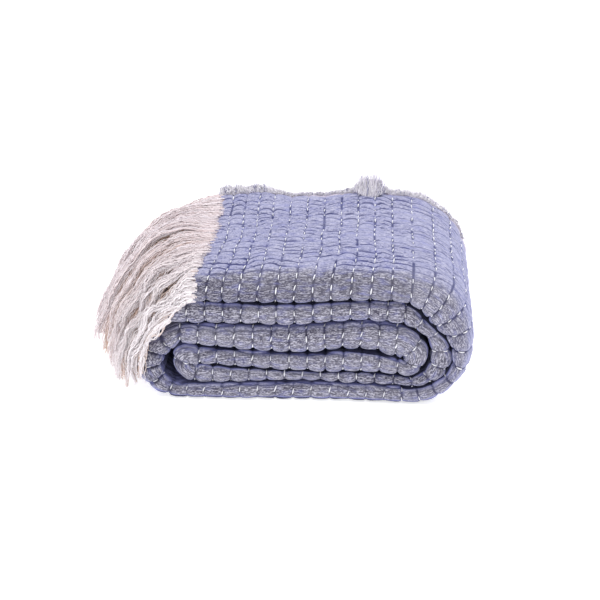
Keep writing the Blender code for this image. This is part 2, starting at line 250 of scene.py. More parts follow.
# How far a turn's starboard and port sides swell beyond the solid's.
STARBOARD_PLUMP = {"outer left": 4 * MM, "inner left": 2.5 * MM, "middle right": 1.0 * MM}
PORT_PLUMP = {"middle right": 2.2 * MM}
FINE = 4  # steps to a side of a hidden face, where a face that shows has one
HEM_STEPS = 8  # of the outline, over the first leaf's selvedge
PORT_ROUND, STARBOARD_ROUND = 24, 12  # steps round the front, from each side to the nose
BACK_FOLD_STEPS, FEW_STEPS = 8, 4


def rows_pull():
    """How far the rows of stitches draw the cloth in at every cut."""
    off = np.abs(2 * (WAY / CHANNEL_LENGTH % 1) - 1)
    pull = STITCH_PULL * (1 - np.sqrt(np.clip(1 - off ** PUFF_ROUND, 0, 1)))
    for name, times in TURN_PULL.items():
        pull = np.where(ON[name], pull * times, pull)
    return pull * ROW_TIGHTNESS[np.round(WAY / CHANNEL_LENGTH).astype(int)]


def swell(plumps):
    """How far one side of the strip swells at every cut, most in the middle of each turn."""
    total = np.zeros(len(WAY))
    for name, plump in plumps.items():
        total += plump * np.sin(np.cumsum(ON[name]) / ON[name].sum() * math.pi) * ON[name]
    return total


def cloth_outline():
    """The cloth's outline at every cut, from the first leaf's back edge round the fold and back, and
    what each step of it is part of."""
    inward = (STARBOARD - PORT) / np.linalg.norm(STARBOARD - PORT, axis=1, keepdims=True)
    starboard_edge = STARBOARD + inward * swell(STARBOARD_PLUMP)[:, None]
    port_edge = PORT - inward * swell(PORT_PLUMP)[:, None]
    half = np.hypot(*(port_edge - starboard_edge).T) / 2
    gap = LEAF_GAP / half
    leaf = (2 - 3 * gap) / 4
    thick = leaf * half
    over, under = 1 - leaf, leaf - 1
    pull = rows_pull()
    side_pull = np.minimum(pull, THIN_PULL * thick) / half
    port_pull = side_pull * np.where(PORT[:, 1] < BAND_GAP, 0, 1)
    for name, times in PORT_PULL.items():
        port_pull = np.where(ON[name], port_pull * times, port_pull)
    port_side, starboard_side = 1 - port_pull, side_pull - 1
    front_y = SET_BACK * MM - DEPTH / 2 + pull + FRONT_WAVE * wave(FRONT_WAVE_LENGTH)
    back_y = DEPTH / 2 + BACK_WAVE * wave(BACK_WAVE_LENGTH)
    fold_y = DEPTH / 2 - pull + BACK_WAVE * wave(BACK_FOLD_WAVE_LENGTH, 2)
    lift = np.interp(PORT[:, 0], LIFT_X, LIFT_RISE)
    lift *= np.clip((PORT[:, 1] - LIFT_START) / LIFT_FADE, 0, 1) / half * (ON["A"] | ON["outer right"])
    raised = flap(PORT[:, 0]) * ON["A"]
    hem_y = back_y - SELVEDGE
    hem, hem_inside = (hem_y, port_side + lift), (hem_y, over + lift)
    back_y = back_y + FLAP_BACK * raised
    lift = lift + FLAP_RISE * raised / half
    port, starboard = SHOULDER_PORT * MM, SHOULDER_STARBOARD * MM
    inner_port = np.maximum(port - thick, LEAST_FOLD)
    inner_starboard = np.maximum(starboard - thick, LEAST_FOLD)
    inner_y = front_y + thick
    heart_y = inner_y + thick + LEAF_GAP + port * HEART_SHARE
    middle_y = np.full_like(half, LIFT_Y)
    edge_y = back_y + UNDER_LEAF_OUT
    pocket_y = fold_y - thick
    back, back_inside = (back_y, port_side + lift), (back_y, over + lift)
    groove = (back_y - EDGE_GROOVE, (port_side + over) / 2 + lift)
    edge, edge_over = (edge_y, gap / 2), (edge_y, over - gap)
    edge_groove = (edge_y - EDGE_GROOVE, over / 2)
    pocket, pocket_over = (pocket_y - LEAF_GAP, under), (pocket_y - LEAF_GAP, under + gap)
    heart, heart_over = (heart_y, -gap / 2), (heart_y, gap / 2)
    inner_back = (inner_y + inner_port + LEAF_GAP, over - gap)
    inner_under = (inner_y + inner_starboard + LEAF_GAP, under + gap)
    runs = (
        ("port", stretch(back, hem, HEM_STEPS)),
        ("port", stretch(hem, (middle_y, port_side), 40)),
        ("port", stretch((middle_y, port_side), (front_y + port, port_side), 80)),
        ("front", round_front(front_y, port, NOSE, port_side, 90, 0, PORT_ROUND)),
        ("front", round_front(front_y, starboard, NOSE, starboard_side, 0, 90, STARBOARD_ROUND)),
        ("hidden", stretch((front_y + starboard, starboard_side), (pocket_y, starboard_side), 12)),
        ("back", round_back(fold_y, starboard_side, -gap / 2, thick, BACK_FOLD_STEPS)),
        ("hidden", through((pocket_y, -gap / 2), heart, heart_over, edge)),
        ("back", through(edge, edge_groove, edge_over)),
        ("hidden", through(edge_over, inner_back)),
        ("hidden", round_front(inner_y + LEAF_GAP, inner_port, NOSE, over - gap, 90, 0, 12)),
        ("hidden", round_front(inner_y + LEAF_GAP, inner_starboard, NOSE, under + gap, 0, 90, 12)),
        ("hidden", through(inner_under, pocket_over, pocket, (inner_y + inner_starboard, under))),
        ("hidden", round_front(inner_y, inner_starboard, NOSE, under, 90, 0, 12)),
        ("hidden", round_front(inner_y, inner_port, NOSE, over, 0, 90, 12)),
        ("hidden", through((inner_y + inner_port, over), (middle_y, over), hem_inside)),
        ("back", through(hem_inside, back_inside, groove, back)),
    )
    y, side = np.array([point for _, run in runs for point in run]).transpose(1, 2, 0)
    xz = starboard_edge[:, None] + (port_edge - starboard_edge)[:, None] * ((side + 1) / 2)[..., None]
    slant = np.interp(y, END_OUTLINE_Y, END_OUTLINE_X)
    slant *= np.clip(1 - WAY / END_OUTLINE_REACH, 0, 1)[:, None]
    outline = np.stack([xz[..., 0] + slant, y, xz[..., 1]], axis=2)
    return outline, np.array([part for part, run in runs for _ in run])


def random_field(along, across):
    """Smooth random values from -1 to 1 over the cloth, with a new one every so far along and across."""
    a, b = ways / along, breadth[:, :-1] / across
    i, j = np.floor(a).astype(int), np.floor(b).astype(int)
    table = RANDOM.uniform(-1, 1, (i.max() + 2, j.max() + 2))
    a, b = a - i, b - j
    a, b = a * a * (3 - 2 * a), b * b * (3 - 2 * b)
    near = table[i, j] * (1 - a) + table[i + 1, j] * a
    far = table[i, j + 1] * (1 - a) + table[i + 1, j + 1] * a
    return near * (1 - b) + far * b


def normals_of(points):
    """The outward direction at every point of the cloth."""
    around = np.roll(points, -1, axis=1) - np.roll(points, 1, axis=1)
    out = np.cross(around, np.gradient(points, axis=0))
    return out / np.maximum(np.linalg.norm(out, axis=2, keepdims=True), 1e-12)


RANDOM = np.random.default_rng(7)
CHANNELS = round(WAY[-1] / CHANNEL)
CHANNEL_LENGTH = WAY[-1] / CHANNELS
ROW_TIGHTNESS = RANDOM.uniform(0.75, 1.15, CHANNELS + 1)
ROW_TIGHTNESS[[0, -1]] = 0  # no row of stitches at the ends
CREASE_PITCH, CREASE_DEPTH, CREASE_WIDTH = 7.2 * MM, 1.7 * MM, 0.24
CREASE_DRIFT, CREASE_ARC = 0.7, 0.3  # of the pitch, how far a crease wanders and how much it sags
CRINKLE = 1.1 * MM
FRONT_LEAN = 6 * MM  # how far the rows on the first leaf's front run to the left on their way down
LEAN_GROWS, LEAN_FADES = 40 * MM, 60 * MM  # over how much of band A's two ends it grows and fades
LEAN_STEPS = 12  # of the outline, past the front, in which it is gone
WOBBLE = 1.1 * MM  # how far the rows of stitches wander
UNEVEN = 0.8 * MM
FRONT_CREASES, BACK_CREASES, SIDE_CREASES = 0.3, 0.2, 0.75  # of the depth of the creases on top
INSIDE_CREASES = 0.3
# The painted sheen: lavender that turns grey where the cloth faces the front, greyer on some fronts than
# others (past full grey, A's front also gets painted shade), and lavender again along the lower rims of the
# folds on the floor.
FACING_FROM, FACING_TO = 0.32, 0.72  # how squarely to the front the lavender starts to turn grey, and ends
FRONT_GREY = {"A": 1.3, "outer right": 0.72}  # how grey their fronts are, times the others'
YARN_SPAN = 12  # cuts to each side over which the yarns even out the puffs' bulges
RIM = 0.7  # of the turn from a fold's front to its side, where the shade of the gap beside it starts
# The painted sheen on those lower rims.
RIM_HEIGHT = (40 * MM, 75 * MM)  # where the outermost fold's lower rim turns from lavender to grey
RIM_STEPS, RIM_LAVENDER = (0, 14, 21), (1, 0.85, 0)  # how lavender it is, by steps round the front
# A painted contact shadow along the rim of the fold that lies on the floor.
CONTACT_HEIGHT = (2 * MM, 8 * MM)  # where the rim comes out of the dark that it lies in on the floor
CONTACT_STEPS, CONTACT_SHADE = (12, 18), 1.3
CAVITY_STEPS, CAVITY_SHADE = 4, 0.5  # of a gap's shade, near the front where it is wide enough to be lit
# Painted shade along the rows of stitches, where they draw the cloth in.
ROW_NARROW, LEFT_ROW_NARROW, SIDE_ROW_NARROW = 3, 0.9, 2  # how narrow the dark of the stitches' rows is
INSIDE_HOLLOW = 0.78  # how dark they are inside the roll and, twice over, on F
HEM_HOLLOW = 0.4  # and on the first leaf's selvedge
PALE_STEPS = 5  # of the outline, undyed at the first leaf's edge

bare, part_of = cloth_outline()
breadth = np.linalg.norm(np.diff(bare, axis=1, append=bare[:, :1]), axis=2).cumsum(axis=1)
breadth = np.concatenate([0 * breadth[:, :1], breadth], axis=1)
ways = np.broadcast_to(WAY[:, None], bare.shape[:2])
between_rows = 1 - np.abs(2 * (ways / CHANNEL_LENGTH % 1) - 1) ** 3
normals = normals_of(bare)

# The puffs' fine crinkle, and creases that lie even under each other because the yarns run through.
# How squarely the cloth faces the front, which the finish reads as a painted sheen: grey where it faces the
# front, lavender where it turns away.
facing = np.clip((-normals[..., 1] - FACING_FROM) / (FACING_TO - FACING_FROM), 0, 1)
facing *= part_of == "front"
field = 0.65 * random_field(CHANNEL * 1.3, 5.2 * MM) + 0.35 * random_field(CHANNEL * 0.6, 2.8 * MM)
straight = np.pad(breadth, ((YARN_SPAN, YARN_SPAN), (0, 0)), "edge").cumsum(axis=0)
straight = np.pad(straight, ((1, 0), (0, 0)))
straight = (straight[2 * YARN_SPAN + 1:] - straight[:-2 * YARN_SPAN - 1]) / (2 * YARN_SPAN + 1)
phase = straight[:, :-1] / CREASE_PITCH + CREASE_ARC * between_rows
phase += CREASE_DRIFT * random_field(CHANNEL * 1.4, 22 * MM)
creased = np.clip(1.1 + 1.4 * random_field(CHANNEL * 2.4, 7 * MM), 0.15, 1)
creased *= 1 - (1 - FRONT_CREASES) * facing
creased *= np.where(part_of == "back", BACK_CREASES, 1)
creased[ON["outer right"]] *= SIDE_CREASES
creased[:, :HEM_STEPS] *= BACK_CREASES
crease = np.exp(-((phase - np.round(phase)) / CREASE_WIDTH) ** 2)
height = CRINKLE * field * between_rows - CREASE_DEPTH * crease * creased
height += UNEVEN * random_field(CHANNEL, 30 * MM) * between_rows
height *= np.where(part_of == "hidden", INSIDE_CREASES, 1)
grid = bare + normals * height[..., None]

# The rows wander a little, and lean on the first leaf's front.
strip_way = np.gradient(PORT + STARBOARD, axis=0)
strip_way /= np.linalg.norm(strip_way, axis=1, keepdims=True)
strip_way = np.stack([strip_way[:, 0], 0 * WAY, strip_way[:, 1]], axis=1)[:, None]
grid += strip_way * (WOBBLE * random_field(CHANNEL * 2.5, 24 * MM))[..., None]
grid[..., 2] = np.maximum(grid[..., 2], 0)
step = np.arange(len(part_of))
first_front, last_front = np.flatnonzero(part_of == "front")[[0, -1]]
nose = first_front + PORT_ROUND
turning = np.interp(step, (first_front, nose, last_front, last_front + LEAN_STEPS), (0, 1, 1, 0))
lean = np.clip(WAY / LEAN_GROWS, 0, 1) * np.clip((WAY[ON["A"]].max() - WAY) / LEAN_FADES, 0, 1)
grid -= strip_way * (FRONT_LEAN * lean[:, None] * turning)[..., None]

# What the finish reads: the painted shade of the gaps and along the rows of stitches, the painted
# sheen's grey fronts, and the pale edges.
wide_open = ON["A"] | ON["outer right"] | ON["outer left"]
turned = np.zeros(len(part_of))
turned[first_front:nose] = np.linspace(1, 0, PORT_ROUND, endpoint=False)
turned[nose:nose + STARBOARD_ROUND] = np.linspace(0, 1, STARBOARD_ROUND, endpoint=False)
shade = np.clip((turned - RIM) / (1 - RIM), 0, 1) + np.isin(part_of, ("hidden", "port"))
shade = np.broadcast_to(shade, bare.shape[:2]).copy()
shade[wide_open | ON["F"], :nose] = 0
cavity = ON["outer left"] | ON["F"] | ON["inner left"]
shade[cavity] *= np.interp(step, (last_front, last_front + CAVITY_STEPS), (CAVITY_SHADE, 1))
rim_step = step - first_front
contact = np.interp(PORT[:, 1], CONTACT_HEIGHT, (1, 0))[:, None] * (rim_step >= 0)
shade = np.maximum(shade, contact * np.interp(rim_step, CONTACT_STEPS, (CONTACT_SHADE, 0)))
# Painted shade along the rows of stitches: narrow and full on the fronts, patchy elsewhere.
patchy = np.clip(0.7 + 0.8 * random_field(CHANNEL * 0.5, 5 * MM), 0.2, 1)
narrow = np.where(ON["outer left"] | ON["inner left"], LEFT_ROW_NARROW, ROW_NARROW)[:, None]
narrow = narrow + SIDE_ROW_NARROW * (1 - facing)
hollow = (1 - between_rows) ** narrow * (facing + (1 - facing) * patchy)
hollow[:, :HEM_STEPS] *= HEM_HOLLOW
for inside in (~wide_open, ON["F"]):
    hollow[inside] *= INSIDE_HOLLOW
# The painted sheen: some fronts greyer than others, and the lower rims of the folds on the floor lavender.
for name, times in FRONT_GREY.items():
    facing[ON[name]] *= times
near_floor = np.interp(PORT[:, 1], RIM_HEIGHT, (1, 0)) * (ON["F"] | ON["outer left"] | ON["outer right"])
facing *= 1 - near_floor[:, None] * np.interp(rim_step, RIM_STEPS, RIM_LAVENDER)
selvedge = part_of == "back"
back_fold = np.flatnonzero(selvedge)[:BACK_FOLD_STEPS]
selvedge[back_fold] = False
selvedge[:PALE_STEPS] = True
selvedge = np.broadcast_to(selvedge, bare.shape[:2])

# The plan above starts off the middle of the footprint, where the solids have their origin.
low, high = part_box("cloth")
PLACE = np.array([(low.x + high.x - bare[..., 0].min() - bare[..., 0].max()) / 2, 0, 0])
PLACE[1] = low.y - bare[..., 1].min()
grid += PLACE


class Wire:
    """A socket of a node tree. A sum is written as an expression on wires, and each adds its own node."""

    def __init__(self, tree, socket):
        self.tree = tree
        self.socket = socket

    def node(self, kind, values=(), output=0, **settings):
        """Any node of the tree, with its settings first and then its inputs, by name or number."""
        made = self.tree.nodes.new(kind)
        for name, value in settings.items():
            setattr(made, name, value)
        for key, value in dict(values).items():
            if isinstance(value, Wire):
                value.feed(made.inputs[key])
            else:
                made.inputs[key].default_value = value
        return Wire(self.tree, made.outputs[output])

    def maths(self, operation, *others):
        """A Math node of this value and others, or a Vector Math node where one of them is a vector."""
        values = (self, *others)
        kinds = {value.socket.type for value in values if isinstance(value, Wire)}
        kind = "ShaderNodeVectorMath" if kinds & {"VECTOR", "RGBA"} else "ShaderNodeMath"
        return self.node(kind, enumerate(values), operation=operation)

    __add__ = __radd__ = partialmethod(maths, "ADD")
    __sub__ = partialmethod(maths, "SUBTRACT")
    __mul__ = __rmul__ = partialmethod(maths, "MULTIPLY")
    __truediv__ = partialmethod(maths, "DIVIDE")
    __pow__ = partialmethod(maths, "POWER")

    def __rsub__(self, other):
        return self.node("ShaderNodeMath", {0: other, 1: self}, operation="SUBTRACT")

    def scaled(self, by):
        return self.node("ShaderNodeVectorMath", {0: self, "Scale": by}, operation="SCALE")

    def ramp(self, start, stop, to_start=0.0, to_stop=1.0):
        """This value carried smoothly from one range to another."""
        values = {0: self, 1: start, 2: stop, 3: to_start, 4: to_stop}
        return self.node("ShaderNodeMapRange", values, interpolation_type="SMOOTHSTEP")

    def tint(self, start, stop):
        """A colour from start to stop, by this value."""
        return self.node("ShaderNodeMix", {0: self, 6: start, 7: stop}, output=2, data_type="RGBA")

    def noise(self, scale, detail, output=0):
        """A smooth random value at this place, or a random colour as output 1."""
        return self.node("ShaderNodeTexNoise", {"Vector": self, "Scale": scale, "Detail": detail}, output)

    def spot(self, x=0.0, y=0.0, z=0.0):
        """A place in the same tree, from its three parts."""
        return self.node("ShaderNodeCombineXYZ", {"X": x, "Y": y, "Z": z})

    def part(self, name):
        """Another output of the same node."""
        return Wire(self.tree, self.socket.node.outputs[name])

    def stored(self, name):
        """A value that the mesh carries, in a finish."""
        return self.node("ShaderNodeAttribute", output="Fac", attribute_name=name)

    def carried(self, name, kind):
        """A value that the mesh carries, in Geometry Nodes."""
        return self.node("GeometryNodeInputNamedAttribute", {"Name": name}, data_type=kind)

    def feed(self, inlet):
        self.tree.links.new(self.socket, inlet)


def set_inputs(node, values):
    for name, value in values.items():
        node.inputs[name].default_value = value


def new_finish(name, roughness, sheen, sheen_tint):
    """A cotton finish with its shader's plain values set: the material, a wire of its tree, its shader."""
    made = bpy.data.materials.new(name)
    made.use_nodes = True
    shader = made.node_tree.nodes["Principled BSDF"]
    set_inputs(shader, {
        "Roughness": roughness, "Specular IOR Level": 0.2,
        "Sheen Weight": sheen, "Sheen Roughness": 0.5, "Sheen Tint": sheen_tint,
    })
    coordinates = made.node_tree.nodes.new("ShaderNodeTexCoord")
    return made, Wire(made.node_tree, coordinates.outputs["Object"]), shader


def new_object(name, data):
    made = bpy.data.objects.new(name, data)
    bpy.context.scene.collection.objects.link(made)
    return made


def carry(mesh, name, values):
    """Stores a value or a direction on each point of a mesh."""
    values = np.asarray(values, dtype=np.float32)
    kind, field = ("FLOAT_VECTOR", "vector") if values.ndim == 2 else ("FLOAT", "value")
    mesh.attributes.new(name, kind, "POINT").data.foreach_set(field, values.ravel())


MAP_SIZE = 1.8  # metres of cloth to the side of its map
# The grey and the lavender are the two ends of a painted sheen. The deep blue and the dark thread colour
# paint both dark threads and shade; the gap and rim colours paint the shade of the gaps.
GREY_FACE_ON, LAVENDER_SHEEN = (0.198, 0.191, 0.238, 1), (0.32, 0.322, 0.48, 1)
DEEP_BLUE, PALE_THREAD = (0.045, 0.05, 0.15, 1), (0.66, 0.65, 0.76, 1)
DARK_THREAD_AND_SHADE, GAP_DARK = (0.04, 0.036, 0.065, 1), (0.012, 0.012, 0.035, 1)
RIM_BLUE = (0.19, 0.20, 0.46, 1)
UNDYED = (0.62, 0.55, 0.62, 1)


def stitched_cotton():
    """A painted sheen, grey where the rounded folds face the front and lavender elsewhere, with pale and
    dark threads along the strip, and painted shade: deep blue in the creases, along the rows of stitches
    and in the gaps."""
    made, start, shader = new_finish("stitched cotton", 0.9, 0.3, (0.62, 0.66, 1.0, 1))
    place = start.node("ShaderNodeUVMap", uv_map="along and across").scaled(MAP_SIZE)
    along = start.node("ShaderNodeSeparateXYZ", {0: place})
    across = along.part("Y")

    def threads(length, thickness, detail):
        return start.spot(along / length, across / thickness).noise(1.0, detail)

    yarn = threads(6 * MM, 0.95 * MM, 2.0)
    slubs = threads(2.0 * MM, 0.85 * MM, 1.0)
    folds = threads(CHANNEL * 1.1, 4.5 * MM, 2.0)
    patches = threads(60 * MM, 40 * MM, 2.0)
    # The painted sheen: grey where the cloth faces the front, lavender where it turns away.
    grey = start.stored("facing")
    mixed = grey + (patches - 0.5) * 0.5 + (yarn - 0.5) * 0.8
    body = mixed.ramp(0.1, 0.9).tint(LAVENDER_SHEEN, GREY_FACE_ON)
    ragged = start.stored("selvedge") + (patches - 0.5) * 0.8
    body = ragged.ramp(0.4, 0.75).tint(body, UNDYED)
    weave = yarn * 0.55 + slubs * 0.45
    body = (weave.ramp(0.51, 0.59, 0.0, 0.65) * (grey * 0.35 + 0.65)).tint(body, PALE_THREAD)
    body = (weave.ramp(0.51, 0.43, 0.0, 0.85) * grey).tint(body, DARK_THREAD_AND_SHADE)
    lavender = (1 - grey).maths("MAXIMUM", 0)
    body = (weave.ramp(0.49, 0.39, 0.0, 0.6) * lavender).tint(body, DEEP_BLUE)
    # Painted shade on A's front, which the sheen makes greyer than grey.
    body = grey.ramp(1.0, 1.3, 0.0, 0.33).tint(body, DARK_THREAD_AND_SHADE)
    # Painted shade in the creases and along the rows of stitches.
    phase = start.stored("fold_phase") + folds * 0.5 + 0.25
    fold_line = ((phase.maths("FRACT") - 0.5) * 6.0) ** 2
    fold_line = fold_line.ramp(0.0, 1.0, 1.0, 0.0) * start.stored("folded")
    hollow = start.stored("hollow").ramp(0.2, 0.75, 0.0, 0.96)
    body = hollow.maths("MAXIMUM", fold_line).tint(body, grey.tint(DEEP_BLUE, DARK_THREAD_AND_SHADE))
    body = patches.ramp(0.35, 0.7, 0.0, 0.12).tint(body, PALE_THREAD)
    # Painted shade of the gaps: blue at a fold's rim, near black deeper in.
    gap = start.stored("gap_shade")
    uneven = threads(14 * MM, 5 * MM, 2.0) * 0.9
    body = (gap + uneven).ramp(0.4, 0.85, 0.0, 0.75).tint(body, RIM_BLUE)
    body = (gap + uneven).ramp(0.8, 1.35, 0.0, 0.94).tint(body, GAP_DARK)
    relief = weave * 1.4 - fold_line
    bump = start.node("ShaderNodeBump", {"Height": relief, "Strength": 0.6, "Distance": 0.7 * MM})
    body.feed(shader.inputs["Base Color"])
    bump.feed(shader.inputs["Normal"])
    return made


def cloth_faces():
    """The cloth's faces as (cut, step) corners: small where it shows, and each hidden cell in one, with
    the corners of the small ones beside it."""
    shows = (part_of == "front") | (part_of == "back")
    fine = shows[None, ::FINE] | (wide_open[:-1:FINE, None] & (part_of == "port")[None, ::FINE])
    faces = []
    cells, around = fine.shape
    for i, j in np.ndindex(cells, around):
        k, m = i * FINE, j * FINE
        if fine[i, j]:
            faces += [
                [(p, q), (p + 1, q), (p + 1, q + 1), (p, q + 1)]
                for p in range(k, k + FINE) for q in range(m, m + FINE)
            ]
            continue
        sides = (
            (k, m, 1, 0, fine[i, j - 1]),
            (k + FINE, m, 0, 1, i + 1 < cells and fine[i + 1, j]),
            (k + FINE, m + FINE, -1, 0, fine[i, (j + 1) % around]),
            (k, m + FINE, 0, -1, i and fine[i - 1, j]),
        )
        faces.append([
            (p + s * along, q + s * across)
            for p, q, along, across, small in sides for s in range(FINE if small else 1)
        ])
    for i, k in ((0, 0), (-1, len(WAY) - 1)):
        end = [(k, j * FINE + s) for j in range(around) for s in range(FINE) if not s or fine[i, j]]
        faces.append(end if i else end[::-1])
    return faces


def lay_out_cloth():
    faces = cloth_faces()
    corners = np.array([corner for face in faces for corner in face])
    points = corners[:, 0] * grid.shape[1] + corners[:, 1] % grid.shape[1]
    kept, points = np.unique(points, return_inverse=True)
    ends = np.cumsum([len(face) for face in faces])
    mesh = bpy.data.meshes.new("throw_cloth")
    mesh.from_pydata(
        grid.reshape(-1, 3)[kept].tolist(), [],
        [points[end - len(face):end].tolist() for face, end in zip(faces, ends)],
    )
    mesh.shade_smooth()
    mesh.set_sharp_from_angle(angle=math.radians(75))
    place = np.stack([WAY[corners[:, 0]], straight[corners[:, 0], corners[:, 1]]], axis=1) / MAP_SIZE
    layer = mesh.uv_layers.new(name="along and across")
    layer.data.foreach_set("uv", place.astype(np.float32).ravel())
    for name, values in (
        ("facing", facing), ("hollow", hollow), ("gap_shade", shade), ("selvedge", selvedge),
        ("fold_phase", phase), ("folded", creased),
    ):
        carry(mesh, name, values.ravel()[kept])
    mesh.materials.append(stitched_cotton())
    return new_object("throw_cloth", mesh)


throw_cloth = lay_out_cloth()
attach(throw_cloth, "root")
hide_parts("cloth")


# The stitches. Thick white cotton thread in running stitches, one row across the strip to each channel.
# A stitch shows on the outside for a little under half its pitch, and dips in at both of its ends.

STITCH_PITCH, STITCH_LENGTH = 11 * MM, 5.2 * MM
STITCH_THICKNESS = 0.62 * MM  # from its middle to its side
STITCH_STRAY = 1.2 * MM
STITCH_PROUD = 1.0 * MM  # how far it lies above the bottom of its row
STITCH_MISSING = 0.2  # of those on top, pulled in out of sight
# How far the stitches lean off the strip's way, in degrees.
STITCH_LEAN = {"A": -4, "outer right": 5, "B": -4, "middle right": 0, "C": -9, "G": -9, "H": -6, "F": -12}


def start_tree(name, inputs):
    """A Geometry Nodes tree, and a wire from each of its named inputs."""
    tree = bpy.data.node_groups.new(name, "GeometryNodeTree")
    tree.interface.new_socket("Geometry", in_out="OUTPUT", socket_type="NodeSocketGeometry")
    for label, kind in (("Geometry", "Geometry"), *inputs):
        tree.interface.new_socket(label, in_out="INPUT", socket_type="NodeSocket" + kind)
    source = tree.nodes.new("NodeGroupInput")
    return tree, {socket.name: Wire(tree, socket) for socket in source.outputs if socket.name}


def end_tree(geometry, finish):
    """Smooths what the tree made, makes it real, gives it its material and sends it out."""
    smooth = geometry.node("GeometryNodeSetShadeSmooth", {"Geometry": geometry})
    real = smooth.node("GeometryNodeRealizeInstances", {"Geometry": smooth})
    done = real.node("GeometryNodeSetMaterial", {"Geometry": real, "Material": finish})
    outlet = done.tree.nodes.new("NodeGroupOutput")
    done.feed(outlet.inputs["Geometry"])


def grow(name, base, tree, **sizes):
    """A plain mesh that the tree makes from a base mesh, with its named inputs set."""
    made = new_object(name, base)
    modifier = made.modifiers.new(name, "NODES")
    modifier.node_group = tree
    for socket in tree.interface.items_tree:
        if socket.in_out == "INPUT" and socket.name in sizes:
            modifier[socket.identifier] = sizes[socket.name]
    graph = bpy.context.evaluated_depsgraph_get()
    evaluated = made.evaluated_get(graph)
    made.data = bpy.data.meshes.new_from_object(evaluated, preserve_all_data_layers=True, depsgraph=graph)
    made.data.name = name
    made.modifiers.clear()
    return made


def running_stitches():
    """One short arched thread on each point of the base mesh, turned by the directions it carries."""
    tree, given = start_tree("running stitches", (
        ("Length", "Float"), ("Thickness", "Float"), ("Finish", "Material"),
    ))
    points, length, thickness = given["Geometry"], given["Length"], given["Thickness"]

    start, end = [points.spot(length * half, z=thickness * -1.6) for half in (-0.5, 0.5)]
    values = {"Resolution": 6, "Start": start, "Middle": points.spot(z=thickness * 1.8), "End": end}
    arch = points.node("GeometryNodeCurveQuadraticBezier", values)
    ring = points.node("GeometryNodeCurvePrimitiveCircle", {"Resolution": 5, "Radius": 1.0})
    along = points.node("GeometryNodeSplineParameter")
    girth = thickness * (1 - ((along * 2 - 1) ** 2) * 0.5)
    values = {"Curve": arch, "Profile Curve": ring, "Scale": girth, "Fill Caps": True}
    thread = points.node("GeometryNodeCurveToMesh", values)
    axes = [points.carried(name, "FLOAT_VECTOR") for name in ("along", "out")]
    turn = points.node("FunctionNodeAxesToRotation", enumerate(axes), primary_axis="X", secondary_axis="Z")
    reach = points.carried("reach", "FLOAT")
    values = {"Points": points, "Instance": thread, "Rotation": turn, "Scale": reach}
    end_tree(points.node("GeometryNodeInstanceOnPoints", values), given["Finish"])
    return tree


def stitch_stretches(band):
    """The steps of the outline between which a band's stitches show, in pairs."""
    first = 0 if band in PORT_PULL else first_front
    return (first, last_front), (back_fold[0], back_fold[-1])


def point_at(place, across, points):
    """The point at a place across the cloth, in a row of points."""
    return np.array([np.interp(place, across, column) for column in points.T])


def stitch_places():
    """A mesh of points, one for each stitch, with the way it lies, its outward direction and its size."""
    places, alongs, outs, reaches = [], [], [], []
    outward = normals_of(grid)
    for row in range(1, CHANNELS):
        k = row * STEPS_PER_CHANNEL
        band = BAND_AT[k]
        for first, last in stitch_stretches(band):
            shown = slice(first, last + 1)
            across = breadth[k, shown]
            start = across[0] + STITCH_PITCH * RANDOM.uniform(0.2, 0.6) + (0 if first else SELVEDGE)
            for w in np.arange(start, across[-1], STITCH_PITCH):
                w += RANDOM.uniform(-1, 1) * STITCH_STRAY
                squarely = np.interp(w, across, facing[k, shown])
                if RANDOM.random() < STITCH_MISSING * (1 - squarely):
                    continue
                here, ahead = [point_at(at, across, grid[k, shown]) for at in (w, w + MM)]
                out = point_at(w, across, outward[k, shown])
                along = (ahead - here) / np.linalg.norm(ahead - here)
                lean = math.radians(STITCH_LEAN.get(band, 0) + RANDOM.uniform(-9, 9))
                place = here + out * STITCH_PROUD
                place[2] = max(place[2], STITCH_THICKNESS)
                places.append(tuple(place))
                alongs.append(along * math.cos(lean) + np.cross(out, along) * math.sin(lean))
                outs.append(out)
                reaches.append(RANDOM.uniform(0.8, 1.15) * (0.85 + 0.15 * squarely))
    mesh = bpy.data.meshes.new("stitch_places")
    mesh.from_pydata(places, [], [])
    for name, values in (("along", alongs), ("out", outs), ("reach", reaches)):
        carry(mesh, name, values)
    return mesh


def white_thread():
    made, start, shader = new_finish("white thread", 0.75, 0.3, (1, 1, 1, 1))
    grain = start.noise(900.0, 2.0)
    tint = grain.ramp(0.35, 0.6).tint((0.72, 0.72, 0.80, 1), (0.95, 0.95, 0.97, 1))
    tint.feed(shader.inputs["Base Color"])
    return made


stitches = grow(
    "running_stitches", stitch_places(), running_stitches(),
    Length=STITCH_LENGTH, Thickness=STITCH_THICKNESS, Finish=white_thread(),
)
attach(stitches, "root")


# The fringes. The long cotton threads left unwoven at the cloth's two ends, crinkled by the shrinking
# and clinging together in locks. The upper end is folded, so it has two fringes: one from the first
# leaf and one from the last, under it. The roll's inner end has the third.

